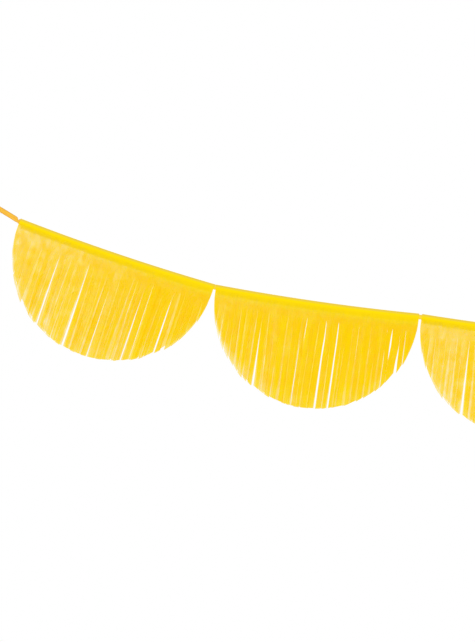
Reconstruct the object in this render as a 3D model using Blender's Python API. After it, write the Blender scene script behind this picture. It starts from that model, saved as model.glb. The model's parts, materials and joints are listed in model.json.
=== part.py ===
"""Scalloped fringe garland: seven tissue scallops on a narrow satin ribbon.

Each scallop is a disc of tissue folded in half over the ribbon. Its two leaves are glued
together just under the ribbon and cut into a fringe. The ribbon shows in the gaps between
the scallops and as a tail at each end, where a knot holds a hanging loop.

The garland hangs as a shallow swag in the XZ plane. +X runs along it to the right, +Z is
up, and it is seen from -Y. The origin is the point of the left hanging loop that bears on
its hook. Lengths are in metres and angles in degrees.
"""

import math

import bmesh
import bpy
from mathutils import Matrix, Vector

# The ribbon
RIBBON_WIDTH = 0.005
RIBBON_THICKNESS = 0.0004

# The tissue of one scallop
HEADER_LENGTH = 0.200  # along the fold, which is also the diameter of the disc
TISSUE_THICKNESS = 0.0003
UNCUT_DEPTH = 0.017  # from the fold down to the tops of the slits
STRIP_WIDTH = 0.00556
SLIT_MOUTH = 0.0006  # width of a closed slit at the curved edge
OPEN_SLIT_MOUTH = 0.0024  # width of a slit whose strips hang apart
HEADER_BOW = 0.0022  # how far the middle of the fold sags below its ends

# The glue strip between the leaves
GLUE_HEIGHT = 0.003
GLUE_INSET = 0.002

# Places
SCALLOP_GAP = 0.0032  # bare ribbon between two scallops
CLEARANCE = 0.0003  # between pieces that touch
SCALLOP_SLOPES = (18.3, 7.7, 6.2, 0.0, -6.2, -7.7, -18.3)  # fall to the right
TAIL_SLOPE = 29.6
TAIL_LENGTH = 0.080  # from the outermost scallop to the knot

# The knot and the hanging loop at each end
KNOT_LENGTH = 0.0075
KNOT_HEIGHT = 0.0068
KNOT_DEPTH = 0.0052
KNOT_WRAP_WIDTH = 0.0034  # the turn of ribbon round the knot
KNOT_WRAP_THICKNESS = 0.0012
KNOT_WRAP_TILT = 24.0
LOOP_LENGTH = 0.024  # from the bearing point to the knot
LOOP_RADIUS = 0.006  # inside, at the bearing end
LOOP_NECK_RADIUS = 0.0008  # inside, at the knot

# Slits that hang open, as shares of the header's length from its left end. The rows take
# turns along the garland.
OPEN_SLIT_SHARES = (
    (0.14, 0.24, 0.39, 0.52, 0.68, 0.83, 0.88),
    (0.245, 0.48, 0.56, 0.62, 0.75, 0.81, 0.875, 0.93),
    (0.155, 0.245, 0.42, 0.59, 0.71, 0.80),
)

# Fineness of the meshes
ARC_STEP = 5.5  # degrees of the curved edge that one straight side may span
FOLD_SIDES = 4  # flats round the top of the fold
COLUMNS_PER_BEND = 3  # strips that share one straight stretch of the header
LOOP_SIDES = 14
NECK_SIDES = 6
KNOT_SEGMENTS = 14
KNOT_RINGS = 8
WRAP_SEGMENTS = 20
WRAP_SIDES = 6

# Sizes that follow
DISC_RADIUS = HEADER_LENGTH / 2
RIBBON_TOP = RIBBON_WIDTH / 2
LEAF_OFFSET = RIBBON_THICKNESS / 2 + CLEARANCE + TISSUE_THICKNESS / 2  # middle of a leaf
HEADER_TOP = RIBBON_TOP + LEAF_OFFSET + TISSUE_THICKNESS / 2
DISC_CENTRE = -RIBBON_TOP
SLIT_TOP = HEADER_TOP - UNCUT_DEPTH
STRIP_COUNT = round(HEADER_LENGTH / STRIP_WIDTH)
LEAF_GAP = 2 * LEAF_OFFSET - TISSUE_THICKNESS
GLUE_THICKNESS = LEAF_GAP - 2 * CLEARANCE
SCALLOP_COUNT = len(SCALLOP_SLOPES)


def material(name, colour, roughness, sheen=0.0):
    """A plain Principled material."""
    made = bpy.data.materials.new(name)
    made.use_nodes = True
    shader = made.node_tree.nodes["Principled BSDF"]
    shader.inputs["Base Color"].default_value = (*colour, 1.0)
    shader.inputs["Roughness"].default_value = roughness
    shader.inputs["Metallic"].default_value = 0.0
    shader.inputs["Sheen Weight"].default_value = sheen
    made.diffuse_color = (*colour, 1.0)
    return made


def along(slope):
    """The direction that falls to the right by a slope."""
    angle = math.radians(slope)
    return Vector((math.cos(angle), 0, -math.sin(angle)))


def turned(slope):
    """The turn about Y that lays the X axis along a slope."""
    return (0, math.radians(slope), 0)


def empty(name, parent, place, slope=0.0):
    """An empty at a joint, which carries what moves with it."""
    made = bpy.data.objects.new(name, None)
    made.empty_display_size = RIBBON_WIDTH
    made.parent = parent
    made.location = place
    made.rotation_euler = turned(slope)
    bpy.context.scene.collection.objects.link(made)
    return made


def add_object(name, mesh_builder, finish, parent, place=(0, 0, 0), slope=0.0):
    """A mesh object made by a function that fills a bmesh."""
    bm = bmesh.new()
    mesh_builder(bm)
    bmesh.ops.recalc_face_normals(bm, faces=bm.faces)
    mesh = bpy.data.meshes.new(name)
    bm.to_mesh(mesh)
    bm.free()
    mesh.materials.append(finish)
    made = bpy.data.objects.new(name, mesh)
    made.parent = parent
    made.location = place
    made.rotation_euler = turned(slope)
    bpy.context.scene.collection.objects.link(made)
    return made


def thicken(made, thickness):
    """Gives a sheet its thickness, half on each side."""
    solidify = made.modifiers.new("thickness", "SOLIDIFY")
    solidify.thickness = thickness
    solidify.offset = 0
    solidify.use_even_offset = True


def header_drop(x):
    """How far the bowed fold hangs below the straight line between its ends."""
    return HEADER_BOW * (1 - (x / DISC_RADIUS) ** 2)


def header_point(bm, x, y, z):
    """A vertex of a piece that follows the bowed fold."""
    return bm.verts.new((x, y, z - header_drop(x)))


def column_places():
    """Where the slits cross the header, with its two ends."""
    step = HEADER_LENGTH / STRIP_COUNT
    return [step * column - DISC_RADIUS for column in range(STRIP_COUNT + 1)]


def bend_columns():
    """The columns at which the header bends."""
    columns = list(range(0, STRIP_COUNT, COLUMNS_PER_BEND))
    return columns + [STRIP_COUNT]


def arc_angle(x):
    """The angle round the disc, from its left end, of the curved edge under x."""
    return math.acos(max(-1.0, min(1.0, -x / DISC_RADIUS)))


def arc_point(bm, angle, y):
    """A vertex on the curved edge."""
    x = -DISC_RADIUS * math.cos(angle)
    return header_point(bm, x, y, DISC_CENTRE - DISC_RADIUS * math.sin(angle))


def slit_mouths(open_shares):
    """The width of each slit at the curved edge, with nothing at the two ends."""
    mouths = [0.0] + [SLIT_MOUTH] * (STRIP_COUNT - 1) + [0.0]
    for share in open_shares:
        mouths[round(share * STRIP_COUNT)] = OPEN_SLIT_MOUTH
    return mouths


def add_strips(bm, slit_row, y, mouths):
    """The strips of one leaf, which hang from the row of slit tops."""
    places = column_places()
    lowest_angle = math.asin((DISC_CENTRE - SLIT_TOP) / DISC_RADIUS)
    for column in range(STRIP_COUNT):
        left = arc_angle(places[column] + mouths[column] / 2)
        right = arc_angle(places[column + 1] - mouths[column + 1] / 2)
        left = max(left, lowest_angle)
        right = min(right, math.pi - lowest_angle)
        steps = max(1, math.ceil(math.degrees(right - left) / ARC_STEP))
        angles = [left + (right - left) * step / steps for step in range(steps + 1)]
        if column == 0:
            angles = angles[1:]
        if column == STRIP_COUNT - 1:
            angles = angles[:-1]
        tip = [arc_point(bm, angle, y) for angle in angles]
        bm.faces.new([slit_row[column + 1], slit_row[column], *tip])


def add_slit_row(bm, y):
    """The row of vertices at the tops of the slits, with its ends on the curved edge."""
    edge = math.sqrt(DISC_RADIUS**2 - (DISC_CENTRE - SLIT_TOP) ** 2)
    places = [max(-edge, min(edge, x)) for x in column_places()]
    return [header_point(bm, x, y, SLIT_TOP) for x in places]


def add_fold_rows(bm):
    """The rows of vertices that go round the top of the ribbon, front to back."""
    places = column_places()
    rows = []
    for side in range(FOLD_SIDES + 1):
        angle = math.pi * side / FOLD_SIDES
        y = -LEAF_OFFSET * math.cos(angle)
        z = RIBBON_TOP + LEAF_OFFSET * math.sin(angle)
        rows.append([header_point(bm, places[column], y, z) for column in bend_columns()])
    return rows


def add_band(bm, fold_row, slit_row, y):
    """The uncut band of one leaf, between the fold and the slits.

    Its ends run straight down past the ribbon to where the curved edge starts.
    """
    columns = bend_columns()
    last = len(columns) - 2
    for bend in range(last + 1):
        outline = slit_row[columns[bend] : columns[bend + 1] + 1]
        if bend == 0:
            outline = [arc_point(bm, 0, y), *outline]
        if bend == last:
            outline = [*outline, arc_point(bm, math.pi, y)]
        bm.faces.new([fold_row[bend], *outline, fold_row[bend + 1]])


def build_paper(bm, open_shares):
    """The folded disc of tissue as one sheet: front leaf, fold and back leaf."""
    mouths = slit_mouths(open_shares)
    fold_rows = add_fold_rows(bm)
    for upper, lower in zip(fold_rows, fold_rows[1:]):
        for bend in range(len(upper) - 1):
            bm.faces.new([upper[bend], upper[bend + 1], lower[bend + 1], lower[bend]])
    for fold_row, y in ((fold_rows[0], -LEAF_OFFSET), (fold_rows[-1], LEAF_OFFSET)):
        slit_row = add_slit_row(bm, y)
        add_band(bm, fold_row, slit_row, y)
        add_strips(bm, slit_row, y, mouths)


def build_bowed_strip(bm, length, top, bottom):
    """A flat strip in the XZ plane that follows the bowed fold."""
    bends = len(bend_columns()) - 1
    places = [length * bend / bends - length / 2 for bend in range(bends + 1)]
    uppers = [header_point(bm, x, 0, top) for x in places]
    lowers = [header_point(bm, x, 0, bottom) for x in places]
    for bend in range(bends):
        corners = [lowers[bend], lowers[bend + 1], uppers[bend + 1], uppers[bend]]
        bm.faces.new(corners)


def build_straight_strip(bm, length):
    """A flat piece of ribbon along X, centred on the origin."""
    corners = [(-length / 2, -RIBBON_TOP), (length / 2, -RIBBON_TOP)]
    corners += [(length / 2, RIBBON_TOP), (-length / 2, RIBBON_TOP)]
    bm.faces.new([bm.verts.new((x, 0, z)) for x, z in corners])


def loop_outline():
    """The middle line of the hanging loop, as points in XZ.

    A wide arc at the bearing end and a small one at the knot are joined by straight sides
    that touch both. The inside of the wide arc is at the origin.
    """
    wide = LOOP_RADIUS + RIBBON_THICKNESS / 2
    neck = LOOP_NECK_RADIUS + RIBBON_THICKNESS / 2
    neck_end = LOOP_LENGTH - CLEARANCE - RIBBON_THICKNESS / 2
    neck_centre = neck_end - neck
    lean = math.acos((wide - neck) / (neck_centre - LOOP_RADIUS))
    points = []
    arcs = (
        (LOOP_RADIUS, wide, lean, 2 * math.pi - lean, LOOP_SIDES),
        (neck_centre, neck, -lean, lean, NECK_SIDES),
    )
    for centre, radius, start, end, sides in arcs:
        for side in range(sides + 1):
            angle = start + (end - start) * side / sides
            points.append((centre + radius * math.cos(angle), radius * math.sin(angle)))
    return points


def build_loop(bm):
    """The hanging loop as a closed band of ribbon, its width along Y."""
    outline = loop_outline()
    fronts = [bm.verts.new((x, -RIBBON_TOP, z)) for x, z in outline]
    backs = [bm.verts.new((x, RIBBON_TOP, z)) for x, z in outline]
    for here in range(len(outline)):
        after = (here + 1) % len(outline)
        bm.faces.new([fronts[here], fronts[after], backs[after], backs[here]])


def build_knot_core(bm):
    """The body of the knot, an egg shape."""
    scale = Matrix.Diagonal((KNOT_LENGTH / 2, KNOT_DEPTH / 2, KNOT_HEIGHT / 2, 1))
    turn = Matrix.Rotation(math.pi / 2, 4, "Y")
    bmesh.ops.create_uvsphere(
        bm, u_segments=KNOT_SEGMENTS, v_segments=KNOT_RINGS, radius=1, matrix=scale @ turn
    )


def build_knot_wrap(bm):
    """The turn of ribbon that goes round the knot, a tilted ring."""
    tilt = math.radians(KNOT_WRAP_TILT)
    half_width, half_thickness = KNOT_WRAP_WIDTH / 2, KNOT_WRAP_THICKNESS / 2
    rings = []
    for segment in range(WRAP_SEGMENTS):
        angle = 2 * math.pi * segment / WRAP_SEGMENTS
        outward = Vector((0, math.cos(angle), math.sin(angle)))
        centre = Vector((0, KNOT_DEPTH / 2 * outward.y, KNOT_HEIGHT / 2 * outward.z))
        ring = []
        for side in range(WRAP_SIDES):
            turn = 2 * math.pi * side / WRAP_SIDES
            point = centre + outward * half_thickness * math.cos(turn)
            point.x += half_width * math.sin(turn) + point.z * math.tan(tilt)
            ring.append(bm.verts.new(point))
        rings.append(ring)
    for segment in range(WRAP_SEGMENTS):
        here, after = rings[segment], rings[(segment + 1) % WRAP_SEGMENTS]
        for side in range(WRAP_SIDES):
            beyond = (side + 1) % WRAP_SIDES
            bm.faces.new([here[side], here[beyond], after[beyond], after[side]])


def add_knot(name, finish, parent, place, slope):
    """A knot: its body joined to the turn of ribbon round it."""
    knot = add_object(name, build_knot_core, finish, parent, place, slope)
    wrap = add_object(name + "_wrap", build_knot_wrap, finish, parent, place, slope)
    wrap.hide_render = True
    wrap.display_type = "WIRE"
    union = knot.modifiers.new("wrap", "BOOLEAN")
    union.operation = "UNION"
    union.object = wrap
    return knot


def add_ribbon(name, length, finish, parent, place, slope):
    """A straight piece of bare ribbon, face to the viewer."""
    made = add_object(
        name, lambda bm: build_straight_strip(bm, length), finish, parent, place, slope
    )
    thicken(made, RIBBON_THICKNESS)
    return made


def end_gap(slope_difference):
    """The room that two ribbon ends need where the ribbon bends in its own plane."""
    return CLEARANCE + HEADER_TOP * math.sin(math.radians(abs(slope_difference)))


def add_scallop(number, slope, parent, place, finishes):
    """One scallop, whose empty lies on its swing axis at the middle of its fold."""
    swing = empty(f"scallop_{number}_swing", parent, place, slope)
    open_shares = OPEN_SLIT_SHARES[(number - 1) % len(OPEN_SLIT_SHARES)]
    paper = add_object(
        f"scallop_{number}_paper",
        lambda bm: build_paper(bm, open_shares),
        finishes["tissue"],
        swing,
    )
    thicken(paper, TISSUE_THICKNESS)
    ribbon = add_object(
        f"scallop_{number}_ribbon",
        lambda bm: build_bowed_strip(bm, HEADER_LENGTH, RIBBON_TOP, -RIBBON_TOP),
        finishes["ribbon"],
        swing,
    )
    thicken(ribbon, RIBBON_THICKNESS)
    glue_top = -RIBBON_TOP - CLEARANCE
    glue_length = HEADER_LENGTH - 2 * GLUE_INSET
    glue = add_object(
        f"scallop_{number}_glue_strip",
        lambda bm: build_bowed_strip(bm, glue_length, glue_top, glue_top - GLUE_HEIGHT),
        finishes["glue"],
        swing,
    )
    thicken(glue, GLUE_THICKNESS)


def add_end(side, parent, scallop_end, slope, scallop_slope, finishes):
    """The tail, knot and hanging loop at one end, all in line with the taut tail.

    outward is the way from the scallop to the hook. The loop is modelled with its bearing
    point at its origin and the knot at +X, so the right one is turned half way round.
    """
    outward = -along(slope) if side == "left" else along(slope)
    inward_slope = slope if side == "left" else slope + 180
    gap = end_gap(slope - scallop_slope)
    tail_middle = scallop_end + outward * (gap + TAIL_LENGTH) / 2
    tail_length = TAIL_LENGTH - gap
    knot_middle = scallop_end + outward * (TAIL_LENGTH + CLEARANCE + KNOT_LENGTH / 2)
    bearing = scallop_end + outward * end_reach()
    ribbon = finishes["ribbon"]
    add_ribbon(f"{side}_tail_ribbon", tail_length, ribbon, parent, tail_middle, slope)
    add_knot(f"{side}_knot", ribbon, parent, knot_middle, slope)
    loop = add_object(
        f"{side}_hanging_loop", build_loop, ribbon, parent, bearing, inward_slope
    )
    thicken(loop, RIBBON_THICKNESS)


def end_reach():
    """From the outermost scallop to the bearing point of the hanging loop."""
    return TAIL_LENGTH + CLEARANCE + KNOT_LENGTH + LOOP_LENGTH


def build_garland():
    """Builds the chain from the left loop: each gap's fold carries all that follows."""
    finishes = {
        "tissue": material("yellow_tissue", (0.97, 0.63, 0.05), 0.7),
        "ribbon": material("yellow_satin", (0.93, 0.55, 0.06), 0.4, sheen=0.3),
        "glue": material("dried_glue", (0.85, 0.72, 0.40), 0.5),
    }
    left_end = empty("left_end", None, (0, 0, 0))
    start = along(TAIL_SLOPE) * end_reach()
    add_end("left", left_end, start, TAIL_SLOPE, SCALLOP_SLOPES[0], finishes)
    carrier, carrier_place = left_end, Vector((0, 0, 0))
    for number, slope in enumerate(SCALLOP_SLOPES, 1):
        middle = start + along(slope) * HEADER_LENGTH / 2
        end = start + along(slope) * HEADER_LENGTH
        add_scallop(number, slope, carrier, middle - carrier_place, finishes)
        if number == SCALLOP_COUNT:
            add_end("right", carrier, end - carrier_place, -TAIL_SLOPE, slope, finishes)
            break
        next_slope = SCALLOP_SLOPES[number]
        link_slope = (slope + next_slope) / 2
        fold = end + along(link_slope) * SCALLOP_GAP / 2
        carrier = empty(f"fold_{number}", carrier, fold - carrier_place)
        carrier_place = fold
        length = SCALLOP_GAP - 2 * end_gap((slope - next_slope) / 2)
        name = f"ribbon_link_{number}"
        add_ribbon(name, length, finishes["ribbon"], carrier, (0, 0, 0), link_slope)
        start = end + along(link_slope) * SCALLOP_GAP


def main():
    """Clears the scene and builds the garland."""
    for old in list(bpy.data.objects):
        bpy.data.objects.remove(old, do_unlink=True)
    build_garland()


main()
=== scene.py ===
"""The looks of the scalloped fringe garland: slit tissue, satin ribbon, knots and studio.

Seven folded discs of yellow tissue hang on a narrow satin ribbon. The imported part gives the
bodies, the joints and the places, and this script dresses them. Lengths are in metres.
"""

import json
import logging
import math
from dataclasses import dataclass, field
from enum import Enum
from functools import partial, reduce

import bpy
import numpy as np
from mathutils import Matrix, Vector

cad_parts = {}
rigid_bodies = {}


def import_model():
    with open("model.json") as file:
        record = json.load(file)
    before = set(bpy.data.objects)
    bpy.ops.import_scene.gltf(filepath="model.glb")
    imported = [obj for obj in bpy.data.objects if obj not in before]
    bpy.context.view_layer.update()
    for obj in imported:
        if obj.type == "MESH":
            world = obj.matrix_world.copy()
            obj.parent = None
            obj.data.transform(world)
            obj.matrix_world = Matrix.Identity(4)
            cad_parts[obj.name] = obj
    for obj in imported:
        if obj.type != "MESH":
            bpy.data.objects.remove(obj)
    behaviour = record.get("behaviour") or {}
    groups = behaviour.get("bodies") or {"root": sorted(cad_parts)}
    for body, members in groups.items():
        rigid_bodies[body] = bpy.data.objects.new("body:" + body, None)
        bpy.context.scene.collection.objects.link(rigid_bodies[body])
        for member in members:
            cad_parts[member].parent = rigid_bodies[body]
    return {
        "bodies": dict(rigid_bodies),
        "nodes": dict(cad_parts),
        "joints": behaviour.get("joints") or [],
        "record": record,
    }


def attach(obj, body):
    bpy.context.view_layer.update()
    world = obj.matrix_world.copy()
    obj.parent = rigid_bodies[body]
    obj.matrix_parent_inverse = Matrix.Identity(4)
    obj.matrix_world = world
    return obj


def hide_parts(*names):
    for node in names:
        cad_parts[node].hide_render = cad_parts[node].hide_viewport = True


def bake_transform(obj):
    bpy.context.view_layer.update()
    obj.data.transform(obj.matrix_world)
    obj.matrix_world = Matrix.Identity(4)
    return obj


LOG = logging.getLogger("garland")

# The photograph's frame, and where the first fold's left corner lies in it
PHOTO_WIDTH_PX = 475
PHOTO_HEIGHT_PX = 642
METRES_PER_PX = 0.000979
CORNER_X_PX = 20.1
CORNER_Y_PX = 220.1

# The row frame's direction from the viewer
BACKWARD = Vector((0.0, 1.0, 0.0))

# The ribbon's thickness, and the angle from which one of its edges is sharp
SATIN_THICKNESS = 0.0003
SHARP_EDGE_DEGREES = 50.0

# The UV maps are in centimetres along the ribbon and in decimetres on the tissue, where every
# leaf has its own place in the patterns
CENTIMETRES_PER_METRE = 100
DECIMETRES_PER_METRE = 10
SCALLOP_SHIFT = 2.0
BACK_LEAF_SHIFT = 13.0

# How an open slit acts on the strips beside it. A reach is in strips
CALM_SHARE = 0.6
CALM_REACH = 0.8
PARTING_REACH = 2.0
SWEPT_REACH = 2.5

# The least length that a slit counts as, as a share of the longest strip
LEAST_SLIT = 0.2

# The powers by which strips open and stand out, and the fold's outline turns into the disc's
OPENING_POWER = 0.8
STAND_POWER = 1.5
OUTLINE_POWER = 0.7

# Waves along a leaf: their height, in metres or as a share, and their radians per metre
LEAN_WAVE = (0.4, 120)
SIDE_WAVE = (0.0003, 390)
SWELL_WAVES = ((0.0012, 60), (0.0006, 150))

# What is drawn for each slit and strip. A spread is a standard deviation, in metres
FIRST_SEED = 100
GAP_RANGE = (0.25, 1.75)
SWAY_SPREAD = 0.00012
RIPPLE_SPREAD = 0.00015
BEAT_RANGE = (1.2, 2.6)
STAND_SPREAD = 0.0004
SECOND_STRIP_STAND = 0.0006
ONSET_RANGE = (0.55, 1.1)
CUP_SPREAD = 0.0003
TRIM_SPREAD = 0.00025
MISCUT_CHANCE = 0.08
MISCUT_RANGE = (-0.0012, 0.0006)
TONE_SPREAD = 0.25
UNTRIMMED_LENGTH = 0.004

Rgb = tuple[float, float, float]
Range = tuple[float, float]


class Side(Enum):
    """The two ends of the garland."""

    LEFT = "left"
    RIGHT = "right"

    @property
    def outward(self) -> float:
        """The sign of X that leads out of the garland at this end."""
        return -1.0 if self is Side.LEFT else 1.0


class Leaf(Enum):
    """The two leaves of a folded disc, by the sign of Y on which they hang."""

    FRONT = -1.0
    BACK = 1.0


class Reach(Enum):
    """Through which leaves a slit hangs open."""

    BOTH = "both"
    FRONT = "front"
    BACK = "back"

    def opens(self, leaf: Leaf) -> bool:
        """Tells whether the slit is open in a leaf."""
        return self is Reach.BOTH or self.name == leaf.name


class NodeBench:
    """The node tree of a material or world, with short calls for the nodes that are used here."""

    def __init__(self, owner: bpy.types.ID) -> None:
        """Empties a node tree.

        Args:
            owner: The material or world that the tree belongs to.
        """
        self.owner = owner
        owner.use_nodes = True
        self.tree = owner.node_tree
        self.tree.nodes.clear()

    def add(self, kind: str, inputs: dict | tuple = (), **settings: object) -> bpy.types.Node:
        """Adds a node.

        Args:
            kind: The node's type, without the leading ShaderNode.
            inputs: Sockets, numbers and colours for its inputs, by name or in the node's order.
            **settings: Properties of the node by name.

        Returns:
            The new node.
        """
        node = self.tree.nodes.new("ShaderNode" + kind)
        for name, value in settings.items():
            setattr(node, name, value)
        for key, value in inputs.items() if isinstance(inputs, dict) else enumerate(inputs):
            socket = node.inputs[key]
            if isinstance(value, bpy.types.NodeSocket):
                self.tree.links.new(value, socket)
            else:
                socket.default_value = (*value, 1.0) if socket.type == "RGBA" else value
        return node

    def math(self, operation: str, *numbers: object) -> bpy.types.NodeSocket:
        """The result of a Math node on sockets and numbers."""
        return self.add("Math", numbers, operation=operation).outputs[0]

    def product(self, *factors: object) -> bpy.types.NodeSocket:
        """Sockets and numbers multiplied one after another."""
        return reduce(partial(self.math, "MULTIPLY"), factors)

    def spread(self, value: object, over: Range, start: object, end: object) -> bpy.types.NodeSocket:
        """Maps a range of a number smoothly onto the range from start to end, and clamps it there."""
        node = self.add("MapRange", (value, *over, start, end), interpolation_type="SMOOTHSTEP")
        return node.outputs["Result"]

    def blend(self, share: object, first: object, second: object) -> bpy.types.NodeSocket:
        """Mixes a share of the second colour into the first."""
        node = self.add("Mix", {"Factor": share, "A": first, "B": second}, data_type="RGBA")
        return node.outputs["Result"]

    def mix_shaders(self, share: object, first: object, second: object) -> bpy.types.NodeSocket:
        """Mixes a share of the second shader into the first."""
        return self.add("MixShader", (share, first, second)).outputs[0]

    def noise(self, vector: object, stretch: tuple, detail: float) -> bpy.types.NodeSocket:
        """A noise of about 0.5, stretched by its own Mapping to so many cells per unit on each axis."""
        places = self.add("Mapping", {"Vector": vector, "Scale": stretch}).outputs["Vector"]
        return self.add("TexNoise", {"Vector": places, "Scale": 1.0, "Detail": detail}).outputs["Fac"]

    def bump(self, height: object, strength: float, distance: float) -> bpy.types.NodeSocket:
        """A normal bumped by a height, which stands out by the distance in metres where it is 1."""
        inputs = {"Strength": strength, "Distance": distance, "Height": height}
        return self.add("Bump", inputs).outputs["Normal"]

    def finish(self, shader: bpy.types.NodeSocket, output: str = "OutputMaterial") -> bpy.types.ID:
        """Joins the last shader to the output node, and gives back the material or world."""
        self.add(output, {"Surface": shader})
        return self.owner


@dataclass(frozen=True)
class TissueFinish:
    """Dyed tissue paper. UV is in decimetres, across the fold and down the leaf.

    Attributes:
        name: The material's name.
        clear: Share of light that passes the tissue unscattered, at the left and right ends.
        strip_share: What the strips keep of that, where the leaves hang apart.
        streakiness: How much it varies in lengthwise streaks.
        wash: How much clearer the tips of the strips are at the left end.
        deep: Colour of the dye where the fibres lie close.
        orange: A deeper colour, mixed in at random and towards the uncut band.
        header: Colour over the ribbon, which backs the tissue there.
        under_ribbon_shade: Painted shade on the glued band under the ribbon, darker below the ribbon's lower
            edge.
        ridge: Painted shade along the top of the fold, where it turns away from the light.
        through_band: Share of the light that comes through the band over the ribbon.
        through_share: The same for the strips.
    """

    name: str
    clear: Range
    strip_share: float
    streakiness: float
    wash: float
    deep: Rgb = (0.985, 0.765, 0.001)
    orange: Rgb = (0.985, 0.722, 0.012)
    header: Rgb = (1.0, 0.745, 0.001)
    # Painted shade: the darker band under the ribbon's lower edge
    under_ribbon_shade: Rgb = (1.0, 0.710, 0.002)
    # Painted shade: the darker line along the top of the fold
    ridge: Rgb = (0.85, 0.620, 0.05)
    through_band: float = 0.03
    through_share: float = 0.50
    # Where one look turns into the next, in decimetres under the ridge
    ridge_shade_end: Range = (0.014, 0.031)
    header_end: Range = (0.042, 0.050)
    under_ribbon_shade_end: Range = (0.076, 0.106)
    uncut_end: Range = (0.10, 0.20)
    strip_start: Range = (0.14, 0.30)
    clear_start: Range = (0.036, 0.106)
    through_start: Range = (0.086, 0.150)
    # Where the tips wash out, as shares of a strip and of the fold
    tip_range: Range = (0.74, 1.0)
    wash_range: Range = (0.02, 0.34)
    # The levels between which a noise makes its change
    noise_middle: Range = (0.34, 0.66)
    # How strongly the creases bend the normal, and how far they stand out in metres
    bump_strength: float = 0.5
    bump_height: float = 0.0006

    def material(self) -> bpy.types.Material:
        """Builds the material.

        Returns:
            The material, whose patterns follow the paper's own UV map.
        """
        bench = NodeBench(bpy.data.materials.new(self.name))
        uv = bench.add("UVMap", uv_map="paper").outputs["UV"]
        down = bench.add("SeparateXYZ", (uv,)).outputs["Y"]
        names = ("fold_share", "strip_tone", "tip_share")
        place, tone, tip = (bench.add("Attribute", attribute_name=name).outputs["Fac"] for name in names)
        clouds = bench.noise(uv, (13.0, 9.0, 1.0), 3.0)
        streaks = bench.noise(uv, (34.0, 1.6, 1.0), 2.0)
        fibres = bench.noise(uv, (120.0, 60.0, 1.0), 3.0)
        creases = bench.noise(uv, (24.0, 12.0, 1.0), 2.0)

        patches = bench.spread(clouds, (0.38, 0.62), 0.0, 1.0)
        lines = bench.spread(streaks, (0.35, 0.68), 0.0, 0.25)
        orange_share = bench.product(bench.math("ADD", patches, lines), bench.math("ADD", tone, 0.3))
        colour = bench.blend(orange_share, self.deep, self.orange)
        colour = bench.blend(bench.spread(down, self.uncut_end, 0.55, 0.0), colour, self.orange)
        colour = bench.blend(bench.spread(fibres, (0.3, 0.7), 0.0, 0.15), colour, self.orange)
        # Down from the ridge: painted shade under the ribbon's lower edge, the band over the ribbon, and
        # painted shade along the top of the fold
        layers = ((self.under_ribbon_shade_end, self.under_ribbon_shade), (self.header_end, self.header), (self.ridge_shade_end, self.ridge))
        for over, shade in layers:
            colour = bench.blend(bench.spread(down, over, 1.0, 0.0), colour, shade)

        height = bench.math("ADD", creases, bench.product(fibres, 0.12))
        normal = bench.bump(height, self.bump_strength, self.bump_height)
        inputs = {"Base Color": colour, "Roughness": 0.8, "Specular IOR Level": 0.05, "Normal": normal}
        paper = bench.add("BsdfPrincipled", inputs)
        glow = bench.add("BsdfTranslucent", {"Color": colour, "Normal": normal})
        through = bench.spread(down, self.through_start, self.through_band, self.through_share)
        lit = bench.mix_shaders(through, paper.outputs[0], glow.outputs[0])
        open_weave = bench.add("BsdfTransparent")
        clear = self.clear_share(bench, (down, place, tone, tip), (clouds, streaks, creases))
        return bench.finish(bench.mix_shaders(clear, lit, open_weave.outputs[0]))

    def clear_share(self, bench: NodeBench, places: tuple, patterns: tuple) -> bpy.types.NodeSocket:
        """The share of light that passes the tissue unscattered.

        Args:
            bench: The material's bench.
            places: The depth, the share of the fold, the strip's tone and the share of the strip.
            patterns: The clouds, the streaks and the creases.

        Returns:
            The share's socket.
        """
        down, place, tone, tip = places
        clouds, streaks, creases = patterns
        streak_size = bench.spread(down, self.strip_start, 0.2 * self.streakiness, self.streakiness)
        lengthwise = bench.product(bench.spread(streaks, self.noise_middle, -1.0, 1.0), streak_size)
        clear = bench.product(
            bench.spread(place, (0.0, 1.0), *self.clear),
            bench.spread(clouds, self.noise_middle, 1.32, 0.66),
            bench.spread(creases, (0.32, 0.68), 0.80, 1.22),
            bench.math("ADD", lengthwise, 1.0),
            bench.spread(down, self.strip_start, 1.0, self.strip_share),
            bench.spread(tone, (0.0, 1.0), 0.6, 1.4),
        )
        tips = bench.spread(tip, self.tip_range, 0.0, 1.0)
        washed = bench.product(tips, bench.spread(place, self.wash_range, self.wash, 0.08))
        return bench.product(bench.math("ADD", clear, washed), bench.spread(down, self.clear_start, 0.0, 1.0))


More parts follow.
